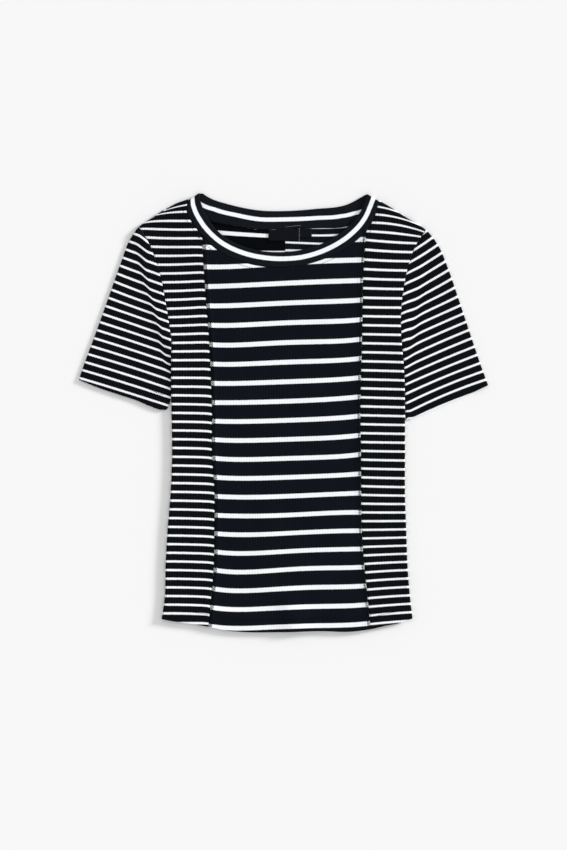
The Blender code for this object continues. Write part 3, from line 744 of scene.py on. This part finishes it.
# Stripes from the hem up, in axes at the shoulder point, turned so that they run level.
#       number, level at each place across
SLEEVE_TURN = {RIGHT: -19.0, LEFT: 24.0}
RIGHT_SLEEVE_AT = (0, 30, 60, 100)
RIGHT_SLEEVE_STRIPES = [
    (0, -213.7, -211.8, -211.9, -210.4),
    (3, -180.2, -178.4, -178.4, -177.5),
    (6, -146.5, -145.4, -145.5, -145.2),
    (9, -112.9, -112.4, -113.3, -113.4),
    (12, -79, -79.9, -80.7, -80.2),
    (15, -45.2, -45.3, -45.8, -45.9),
    (18, -10.5, -10.8, -10.8, -11),
]
LEFT_SLEEVE_AT = (-10, -35, -60, -90)
LEFT_SLEEVE_STRIPES = [
    (-1, -224.7, -222, -221, -219.9),
    (0, -212.4, -209.9, -209.4, -208.9),
    (3, -177.8, -176.5, -176, -175.4),
    (6, -143.4, -142.8, -142.9, -143.3),
    (9, -109.5, -109.2, -109.8, -109.9),
    (12, -74.2, -75.8, -77, -76.2),
    (15, -38.5, -41.5, -42.3, -42.5),
    (18, -3.6, -8, -9.8, -10.5),
]
# Folds by the armholes, where the stripes slip: level, place across, drop and width. Near
# the left sleeve's hem they rise a little instead.
RIGHT_SLIP = [
    (-195, 112, 0, 9),
    (-180, 105, 0.5, 9),
    (-166, 97, 1.2, 9),
    (-157, 91, 2.4, 9),
    (-147, 84, 3, 9),
    (-136, 78, 3.2, 9),
    (-116, 69, 3.1, 9),
    (-93, 52, 3.5, 9.5),
    (-71, 36, 4.3, 10),
    (-48, 21, 5.2, 13),
    (-24, 13, 5.2, 22),
]
LEFT_SLIP = [
    (-208, -119.5, -2.6, 5),
    (-197, -119, -1.8, 5),
    (-186, -117, -0.3, 5),
    (-175, -98, 0, 8),
    (-145, -87, 1.2, 8),
    (-119, -67, 1.7, 8),
    (-85, -46, 1.4, 9),
    (-52, -24, 0.8, 11),
    (-25, -10, 0, 12),
]
SLEEVE_STRIPES = {
    RIGHT: (RIGHT_SLEEVE_STRIPES, RIGHT_SLEEVE_AT, RIGHT_SLIP),
    LEFT: (LEFT_SLEEVE_STRIPES, LEFT_SLEEVE_AT, LEFT_SLIP),
}
outer_edge = {side: smooth(top_knots[side], SHOULDER_ROW) for side in BOTH}


def in_sleeve(at, side):
    """Places across and up a sleeve, from its shoulder point, turned as its stripes run."""
    turn = np.radians(SLEEVE_TURN[side])
    away = at - np.array(top_knots[side][SHOULDER_ROW])
    return away @ [np.cos(turn), np.sin(turn)], away @ [-np.sin(turn), np.cos(turn)]


def sleeve_stripes(across, level, side):
    """Stripes of a sleeve. They slip down as they cross its fold, and come up again beyond
    it on the left sleeve only."""
    table, places, slip = SLEEVE_STRIPES[side]
    slip = np.array(slip)
    place, drop, width = [np.interp(level, slip[:, 0], slip[:, i]) for i in (1, 2, 3)]
    past = -OUTWARDS[side] * (across - place) / width
    if side == RIGHT:
        share = 1 - fade(past, -0.5, 0.5)
    else:
        share = np.exp(-((past - 0.7) ** 2))
    return stripe_number(across, level + drop * share, table, places)


def kept(at, side):
    """The share of the body's heights that a sleeve keeps: all of it at the armhole only."""
    near = fade(distance(at, [armhole[side]]), *SLEEVE_FLAT_REACH)
    return SLEEVE_FLAT + (1 - SLEEVE_FLAT) * near


def sleeve_face(at, side):
    lift = folds(at) + hem_lift(at, sleeve_hems[side], SLEEVE_HEM_DEPTH)
    height = upper(at, sleeve_rolls[side], lift) - into_seam(at, [armhole[side]])
    return height * kept(at, side)


sleeve_hems = {side: smooth(columns(SLEEVE_HEM_LINE, *side)) for side in BOTH}
sleeve_rolls = {}
for word, side in SIDES.items():
    sewn = beside(armhole[side], OUTWARDS[side] * SEAM_GAP / 2, ARMHOLE_END)
    body = side_edge[side]
    places = np.interp(UNDERARM_LEVELS, body[:, 1], body[:, 0]) + OUTWARDS[side] * UNDERARM_CLEAR
    next_to_it = list(zip(places, UNDERARM_LEVELS))
    clear = smooth([tuple(sewn[-1])] + next_to_it + UNDERARM_END[side])
    outer = outer_edge[side].copy()
    outer[0] = sewn[0]
    cuff = sleeve_hems[side]
    sleeve_rolls[side] = rolls = [top_line[side], clear]
    u, v = np.meshgrid(
        lines(AT_ROLL, AT_ROLL, length(armhole[side])), lines(AT_HEM, AT_SEAM, length(outer))
    )
    at = between(path(outer[::-1]), path(clear[::-1]), path(cuff), path(sewn), u, v)
    over = with_height(at, sleeve_face(at, side))
    under = with_height(at, lower(at, rolls) * kept(at, side))
    tube = np.concatenate([over, under[:, -2:0:-1]], axis=1)
    flat_at = tube[..., :2]
    across, level = in_sleeve(flat_at, side)
    piece = mesh_of(
        f"sleeve_{word}_cloth",
        tube,
        narrow_jersey,
        flip=side == LEFT,
        ring=True,
        stripe=sleeve_stripes(across, level, side),
        wale=across,
    )
    walls = walls_with_hem(flat_at, cuff, SLEEVE_HEM_DEPTH, rolls) * kept(flat_at, side)
    give_wall(piece, np.round(walls, 1))
    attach(piece, "root")
    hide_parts(f"sleeve_{word}")


# The neckband -------------------------
# A straight strip of coarser rib with one white stripe, folded double along its free
# edge and sewn to the neckline. It turns over at both shoulders, so across the back its
# inner face shows. The ribs run across it and stand up.

BAND = 2.4  # thickness of the doubled rib
BAND_WIDTH = 20.0
BAND_RIB = 1.65  # from one rib to the next
BAND_RIB_HEIGHT = 0.22
SAMPLES_PER_RIB = 4
FACE_ROWS, FOLD_ROWS = 14, 5  # rows of the mesh on each face, and round the folded edge
MIDDLE, EDGE = FACE_ROWS // 2, FACE_ROWS - 1  # rows of the outer face
# Each colour on the ribs, and darker in the furrows between them: painted shade.
BAND_NAVY, BAND_NAVY_DEEP = "#171B22", "#030406"
BAND_WHITE, BAND_WHITE_SHADE = "#FAFBFD", "#D9DDE4"
FRONT_NECK_EDGE = [
    (-108.6, 276.4), (-100, 256.9), (-79.5, 233.1), (-47.6, 217.5),
    (2, 212), (53, 224), (85.2, 245.8), (103.6, 268.6),
]
BACK_NECK_EDGE = [
    (-106.3, 289.1), (-102.3, 286.6), (-98, 284.2), (-71.9, 275.4),
    (-28.3, 267), (2.4, 266.4), (42.8, 269.4), (83.2, 274.9),
]
# Middle of the white stripe, in shares of the width from the seam, at shares of the way
# from the wearer's right shoulder to the left one. It wanders, as the band is pulled.
FRONT_WHITE = (
    (0, 0.05, 0.13, 0.19, 0.26, 0.42, 0.52, 0.58, 0.8, 0.95, 1),
    (0.38, 0.49, 0.49, 0.535, 0.575, 0.588, 0.558, 0.525, 0.515, 0.54, 0.43),
)
BACK_WHITE = (
    (0, 0.07, 0.13, 0.5, 0.8, 0.87, 0.92, 1),
    (0.38, 0.49, 0.57, 0.52, 0.52, 0.44, 0.28, 0.45),
)
FRONT_WHITE_WIDTH, BACK_WHITE_WIDTH = 5.8, 5.3


def rib_knit(name):
    """Cotton rib, knitted in one with a white stripe. Ribs catch the light in fine lines,
    with dark furrows between them, and notch both edges of the stripe."""
    material, tree, shader, place = new_material(name)
    math, noise, mix = "ShaderNodeMath", "ShaderNodeTexNoise", "ShaderNodeMix"
    off = add(tree, "ShaderNodeAttribute", out="Fac", attribute_name="off_stripe")
    ridge = add(tree, "ShaderNodeAttribute", out="Fac", attribute_name="ridge")
    uneven = add(tree, noise, {"Vector": place, "Scale": 300.0, "Detail": 3.0}, out="Fac")
    edge = add(tree, math, {0: ridge, 1: 0.7, 2: -0.5}, operation="MULTIPLY_ADD")
    edge = add(tree, math, {0: uneven, 1: 0.3, 2: edge}, operation="MULTIPLY_ADD")
    inside = add(tree, math, {0: edge, 1: off}, operation="SUBTRACT")
    soft = {"Value": inside, "From Min": -EDGE_SOFT, "From Max": EDGE_SOFT}
    is_white = add(tree, "ShaderNodeMapRange", soft, interpolation_type="SMOOTHSTEP")
    # Painted light and shade: each colour is lighter on the ribs and darker in the furrows between
    # them.
    dark, light = colour(BAND_NAVY_DEEP), colour(BAND_NAVY)
    navy = add(tree, mix, {"Factor": ridge, "A": dark, "B": light}, **COLOURS)
    dark, light = colour(BAND_WHITE_SHADE), colour(BAND_WHITE)
    yarn = add(tree, mix, {"Factor": ridge, "A": dark, "B": light}, **COLOURS)
    cloth = add(tree, mix, {"Factor": is_white, "A": navy, "B": yarn}, **COLOURS)
    raised = {"Height": uneven, "Strength": 0.4, "Distance": 0.2 * MM}
    look = {
        "Base Color": cloth,
        "Normal": add(tree, "ShaderNodeBump", raised),
        "Roughness": 0.88,
        "Specular IOR Level": 0.06,
        "Sheen Weight": 0.006,
    }
    feed(tree, shader, look)
    return material


def band_section():
    """Round the doubled band from the seam: share of the width, reach past it, and depth."""
    radius = BAND / 2
    turn = np.linspace(0, np.pi, FOLD_ROWS + 2)[1:-1]
    outer = [(share, 0.0, 0.0) for share in np.linspace(0, 1, FACE_ROWS)]
    fold = [(1.0, radius * np.sin(a), radius * (1 - np.cos(a))) for a in turn]
    inner = [(share, 0.0, BAND) for share in np.linspace(1, 0, FACE_ROWS)]
    return np.array(outer + fold + inner)


front_sewn = beside(smooth(neck_knots), SEAM_GAP / 2)
front_free = smooth(shoulder_to_shoulder(FREE_EDGE_ROW, FRONT_NECK_EDGE))
back_sewn = beside(smooth(back_knots), SEAM_GAP / 2)
back_free = smooth(shoulder_to_shoulder(FREE_EDGE_ROW, BACK_NECK_EDGE))
creases = [
    path(np.vstack([corner, neck_fold[side][-2::-1]]))
    for side, corner in ((RIGHT, front_sewn[0]), (LEFT, front_sewn[-1]))
]


def front_band(u, v):
    at = between(*creases, path(front_sewn), path(front_free), u, v)
    return with_height(at, upper(at, top_line.values(), neck_lift(at)))


def back_band(u, v):
    at = between(*creases, path(back_sewn), path(back_free), u, v)
    return with_height(at, lower(at, top_line.values()))


section = band_section()
set_in = 1 - BAND / 2 / BAND_WIDTH  # the folded edge is round, so the faces stop short of it
arcs = []
for arc, white_middle, white_width in (
    (front_band, FRONT_WHITE, FRONT_WHITE_WIDTH),
    (back_band, BACK_WHITE, BACK_WHITE_WIDTH),
):
    u = (1 - np.cos(np.linspace(0, np.pi, 3000))) / 2  # fine steps, finest at the shoulders
    run = run_along(arc(u, np.full(u.shape, 0.5)))
    count = round(run[-1] / BAND_RIB * SAMPLES_PER_RIB)
    u = np.interp(np.linspace(0, run[-1], count + 1), run, u)
    u, v = np.meshgrid(u, section[:, 0] * set_in)
    middle = np.interp(u, *white_middle)
    arcs.append((arc(u, v), v - middle, np.full(u.shape, white_width)))

(front, front_off, front_white), (back, back_off, back_white) = arcs
skin = np.concatenate([front, back[:, -2:0:-1]], axis=1)
off_middle = np.concatenate([front_off, back_off[:, -2:0:-1]], axis=1)
white = np.concatenate([front_white, back_white[:, -2:0:-1]], axis=1)
along = np.roll(skin, -1, axis=1) - np.roll(skin, 1, axis=1)
width = np.linalg.norm(skin[EDGE] - skin[0], axis=-1)
across = np.repeat(((skin[EDGE] - skin[0]) / width[:, None])[None], len(skin), axis=0)
outwards = np.cross(along, across)
outwards = outwards / np.linalg.norm(outwards, axis=-1, keepdims=True)
run = run_along(np.vstack([skin[MIDDLE], skin[MIDDLE, :1]]))
ribs = round(run[-1] / BAND_RIB)
phase = 2 * np.pi * ribs * run[:-1] / run[-1]
ridge = np.repeat((0.5 + 0.5 * np.cos(phase))[None], len(skin), axis=0)
depth = section[:, 2][:, None]
facing = (1 - depth / (BAND / 2)) * BAND_RIB_HEIGHT
rise = (ridge - 1) * facing - depth
band_points = skin + across * section[:, 1][:, None, None] + outwards * rise[..., None]
off_stripe = np.abs(off_middle) * width / set_in - white / 2
neckband = mesh_of(
    "neckband_rib",
    band_points,
    rib_knit("striped_cotton_rib"),
    ring=True,
    loop=True,
    off_stripe=off_stripe,
    ridge=ridge,
)
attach(neckband, "root")
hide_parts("neckband")


# The labels ---------------------------
# A satin-woven label and a small tab beside it, both left bare. Their top edges are
# caught in the seam of the neckband at the centre back, and they hang down from it.

# Left end, right end, and the lower edge at each end.
LABELS = {"neck_label": (-19.8, 21.6, 226.8, 226.8), "size_tab": (21.9, 37.4, 230.6, 231.6)}
LABEL = 0.6  # thickness
LABEL_LIFT = 0.2  # clear of the seam of the back
LABEL_CURL, CURL_TAKES = 0.35, 0.5  # how far its free edge waves, and the length that takes
LABEL_POINTS = 24, 14  # across and down
TAPE_NAVY, TAPE_NAVY_LIGHT = "#05080C", "#0B0E13"
TAPE_RIB = 0.9  # from one raised line of the weave to the next, as coarse as shows


def woven_tape(name):
    """Polyester satin tape. Smooth and a little shiny, with fine lines across it: painted light on
    the raised lines of its weave.
    """
    material, tree, shader, place = new_material(name)
    math = "ShaderNodeMath"
    level = add(tree, "ShaderNodeSeparateXYZ", {0: place}, out="Y")
    turns = add(tree, math, {0: level, 1: 2 * np.pi / (TAPE_RIB * MM)}, operation="MULTIPLY")
    wave = add(tree, math, {0: turns}, operation="SINE")
    line = add(tree, math, {0: wave, 1: 0.5, 2: 0.5}, operation="MULTIPLY_ADD")
    # Painted light: lighter on the raised lines of the weave, darker between them.
    dark, light = colour(TAPE_NAVY), colour(TAPE_NAVY_LIGHT)
    woven = add(tree, "ShaderNodeMix", {"Factor": line, "A": dark, "B": light}, **COLOURS)
    raised = {"Height": line, "Strength": 0.5, "Distance": 0.1 * MM}
    look = {
        "Base Color": woven,
        "Normal": add(tree, "ShaderNodeBump", raised),
        "Roughness": 0.5,
        "Specular IOR Level": 0.06,
    }
    feed(tree, shader, look)
    return material


tape = woven_tape("woven_satin_tape")
for name, (left, right, low_left, low_right) in LABELS.items():
    x = np.linspace(left, right, LABEL_POINTS[0])
    seam = smooth(back_knots)
    top = np.interp(x, seam[:, 0], seam[:, 1]) - SEAM_GAP * 1.5
    low = np.linspace(low_left, low_right, len(x))
    rise = np.linspace(0, 1, LABEL_POINTS[1])[:, None]
    y = low + (top - low) * rise
    x = np.broadcast_to(x, y.shape)
    wave = np.sin((x - left) / (right - left) * np.pi * 1.5 + 0.6)
    curl = np.maximum(LABEL_CURL * wave * (1 - rise), -0.1)  # clear of the cloth below it
    z = JERSEY + SEAM_GAP + LABEL + LABEL_LIFT + curl
    points = np.stack([x, y, z], axis=-1)
    label = mesh_of(f"{name}_tape", points, tape)
    give_wall(label, np.full(x.shape, LABEL))
    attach(label, "root")
    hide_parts(name)


# The sewing ---------------------------
# Spun polyester thread in the dark yarn's colour, which shows where it crosses the white
# stripes: two needle lines and a zigzag between them along each princess seam, one line
# outside the neckband and two in each hem. Pale thread ends stand out above the label.

THREAD = 0.65  # across
SEAM_THREAD = {RIGHT: 0.85, LEFT: 0.9}  # thicker, for the cover stitch of the princess seams; the extra width is painted shade, standing for the furrow each line pulls into the cloth
CUFF_THREAD = 0.8
FINE_THREAD = 0.4
THREAD_SINK = 0.05  # into the cloth
THREAD_NAVY = "#0D1014"
THREAD_GREY = "#A4A8AE"
STITCH, STITCH_STEP = 2.6, 3.0
STATIONS = np.linspace(-0.5, 0.5, 5)  # along a stitch
# How far the needle lines are from their seam or edge. On the left sleeve they keep to the
# dark cloth between two stripes.
TWIN_LINES = {RIGHT: (0.9, 4.0), LEFT: (0.9, 3.1)}
NECK_STITCH_LINE = 4.5
HEM_STITCH_LINES = (15.5, 18.5)
SLEEVE_STITCH_LINES = {RIGHT: (20.0, 23.0), LEFT: (14.2, 17.2)}
# Pale thread: above the label, down its side, and caught in the seam to its left.
PALE_THREADS = [
    [(2.7, 244.6), (6, 245.9), (10, 245.2), (14, 246.3), (21, 247.1), (23.4, 245.6)],
    [(20.9, 243.8), (20.9, 226.4)],
    [(-38.6, 241.6), (-35.6, 241.6)],
    [(-16.2, 241.6), (-9.8, 241.6)],
]


def spun_thread(name, code):
    """Spun polyester thread, dull and a little uneven."""
    material, tree, shader, place = new_material(name)
    fuzz = add(tree, "ShaderNodeTexNoise", {"Vector": place, "Scale": 900.0}, out="Fac")
    light = colour(code)
    dark = tuple(part * 0.6 for part in light[:3]) + (1.0,)
    yarn = add(tree, "ShaderNodeMix", {"Factor": fuzz, "A": dark, "B": light}, **COLOURS)
    feed(tree, shader, {"Base Color": yarn, "Roughness": 0.9, "Specular IOR Level": 0.04})
    return material


def in_line(curve):
    """Middle lines of a row of stitches along the curve."""
    run = run_along(curve)
    starts = np.arange(STITCH_STEP / 2, run[-1], STITCH_STEP)
    places = starts[:, None] + STATIONS * STITCH
    return np.stack([np.interp(places, run, curve[:, i]) for i in (0, 1)], axis=-1)


def zigzag(one, other):
    """Middle lines of the legs of a thread that runs to and fro between two curves."""
    count = int(length(one) / STITCH_STEP)
    share = np.linspace(0, 1, 2 * count + 1)
    on_one = (np.arange(len(share)) % 2 == 0)[:, None]
    corners = np.where(on_one, path(one)(share), path(other)(share))
    over = (STATIONS + 0.5)[:, None]
    return corners[:-1, None] * (1 - over) + corners[1:, None] * over


def stitches(name, rows, face, material, thick=THREAD):
    """Stitches as one mesh: each a low lens of thread along its middle line."""
    plump = np.sqrt(1 - (2 * STATIONS) ** 2) * 0.8 + 0.2
    turn = np.linspace(0, 2 * np.pi, 7)[:-1]
    at = np.concatenate(rows)
    ahead = at[:, -1] - at[:, 0]
    aside = np.stack([-ahead[:, 1], ahead[:, 0]], axis=-1)
    aside = (aside / np.linalg.norm(aside, axis=-1, keepdims=True))[:, None, None, :]
    round_it = (thick / 2 * plump)[None, :, None]
    flat = at[:, :, None, :] + (np.cos(turn) * round_it)[..., None] * aside
    high = face(at)[:, :, None] - THREAD_SINK + np.sin(turn) * round_it
    points = np.concatenate([flat, high[..., None]], axis=-1)
    sides, ends = len(turn), len(STATIONS)
    one = np.arange(ends * sides).reshape(ends, sides)
    two = np.roll(one, -1, axis=1)
    strip = np.stack([one[:-1], two[:-1], two[1:], one[1:]], axis=-1).reshape(-1, 4)
    caps = [one[0, ::-1].tolist(), one[-1].tolist()]
    faces = []
    for i in range(len(at)):
        faces += (strip + i * ends * sides).tolist()
        faces += [[corner + i * ends * sides for corner in cap] for cap in caps]
    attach(new_piece(name, points, faces, material), "root")


def on_centre_face(at):
    return front_face(at, on_centre=True)


def on_side_face(at):
    return front_face(at, on_centre=False)


def level_with_band(at):
    return np.full(at.shape[:-1], BAND + 0.1)


dark_thread = spun_thread("dark_spun_polyester", THREAD_NAVY)
for word, side in SIDES.items():
    near, far = [beside(princess[side], OUTWARDS[side] * line) for line in TWIN_LINES[side]]
    cover = [in_line(near), in_line(far), zigzag(near, far)]
    name = f"princess_seam_stitching_{word}"
    stitches(name, cover, on_centre_face, dark_thread, SEAM_THREAD[side])
round_neck = in_line(beside(front_neck_seam, -NECK_STITCH_LINE)[6:-6])  # not on the shoulder
stitches("neckline_stitching", [round_neck], on_centre_face, dark_thread)
body_hem = [in_line(beside(hem_line, line)) for line in HEM_STITCH_LINES]
stitches("body_hem_stitching", body_hem, on_side_face, dark_thread)

for word, side in SIDES.items():
    hem, out = sleeve_hems[side], OUTWARDS[side]
    cuff = [beside(hem, -out * line)[2:-2] for line in SLEEVE_STITCH_LINES[side]]
    rows = [in_line(line) for line in cuff]
    name = f"sleeve_{word}_stitching"
    stitches(name, rows, lambda at: sleeve_face(at, side), dark_thread, CUFF_THREAD)

pale_thread = spun_thread("pale_spun_polyester", THREAD_GREY)
pale = [in_line(np.array(run)) for run in PALE_THREADS]
stitches("label_threads", pale, level_with_band, pale_thread, FINE_THREAD)


# The studio ---------------------------
# A pale paper sweep under the shirt, one large soft light from the upper right, the
# even light of a white room, and a long lens straight above.

PAPER = "#E7E7E7"
UNDER = 0.2  # the paper is this far below the shirt
FRAME_LONG = 1122.0  # what the long side of the picture takes in
LENS, SENSOR = 100.0, 36.0
AIM = (0.07, -16.5, 3.0)  # the point at the middle of the picture
KEY_STRENGTH, KEY_SPREAD = 4.0, 11.0  # and its width in the sky, in degrees
KEY_BEARING, KEY_HEIGHT = 25.0, 16.0  # degrees round from +X, and above the paper
ROOM_STRENGTH = 0.82

bpy.ops.mesh.primitive_plane_add(size=8.0, location=(0, 0, -UNDER * MM))
floor = bpy.context.object
floor.name = "floor"
# Uncoated paper: it has a faint tooth and no shine at all.
paper, tree, shader, place = new_material("matt_paper")
grain = add(tree, "ShaderNodeTexNoise", {"Vector": place, "Scale": 400.0}, out="Fac")
tooth = add(tree, "ShaderNodeBump", {"Height": grain, "Strength": 0.05, "Distance": 0.05 * MM})
look = {
    "Base Color": colour(PAPER),
    "Normal": tooth,
    "Roughness": 1.0,
    "Specular IOR Level": 0.0,
}
feed(tree, shader, look)
floor.data.materials.append(paper)

key = bpy.data.lights.new("soft_key", "SUN")
key.energy = KEY_STRENGTH
key.angle = np.radians(KEY_SPREAD)
key_light = bpy.data.objects.new("soft_key", key)
bpy.context.scene.collection.objects.link(key_light)
key_light.rotation_euler = np.radians((90 - KEY_HEIGHT, 0, 90 + KEY_BEARING))

world = bpy.data.worlds.new("white_room")
world.use_nodes = True
world.node_tree.nodes["Background"].inputs["Color"].default_value = colour("#FFFFFF")
world.node_tree.nodes["Background"].inputs["Strength"].default_value = ROOM_STRENGTH
bpy.context.scene.world = world
bpy.context.scene.view_settings.view_transform = "Standard"

lens = bpy.data.cameras.new("overhead")
lens.lens = LENS
lens.sensor_width = SENSOR
lens.clip_end = 50.0
camera = bpy.data.objects.new("overhead", lens)
camera.location = (AIM[0] * MM, AIM[1] * MM, (AIM[2] + FRAME_LONG * LENS / SENSOR) * MM)
bpy.context.scene.collection.objects.link(camera)
bpy.context.scene.camera = camera
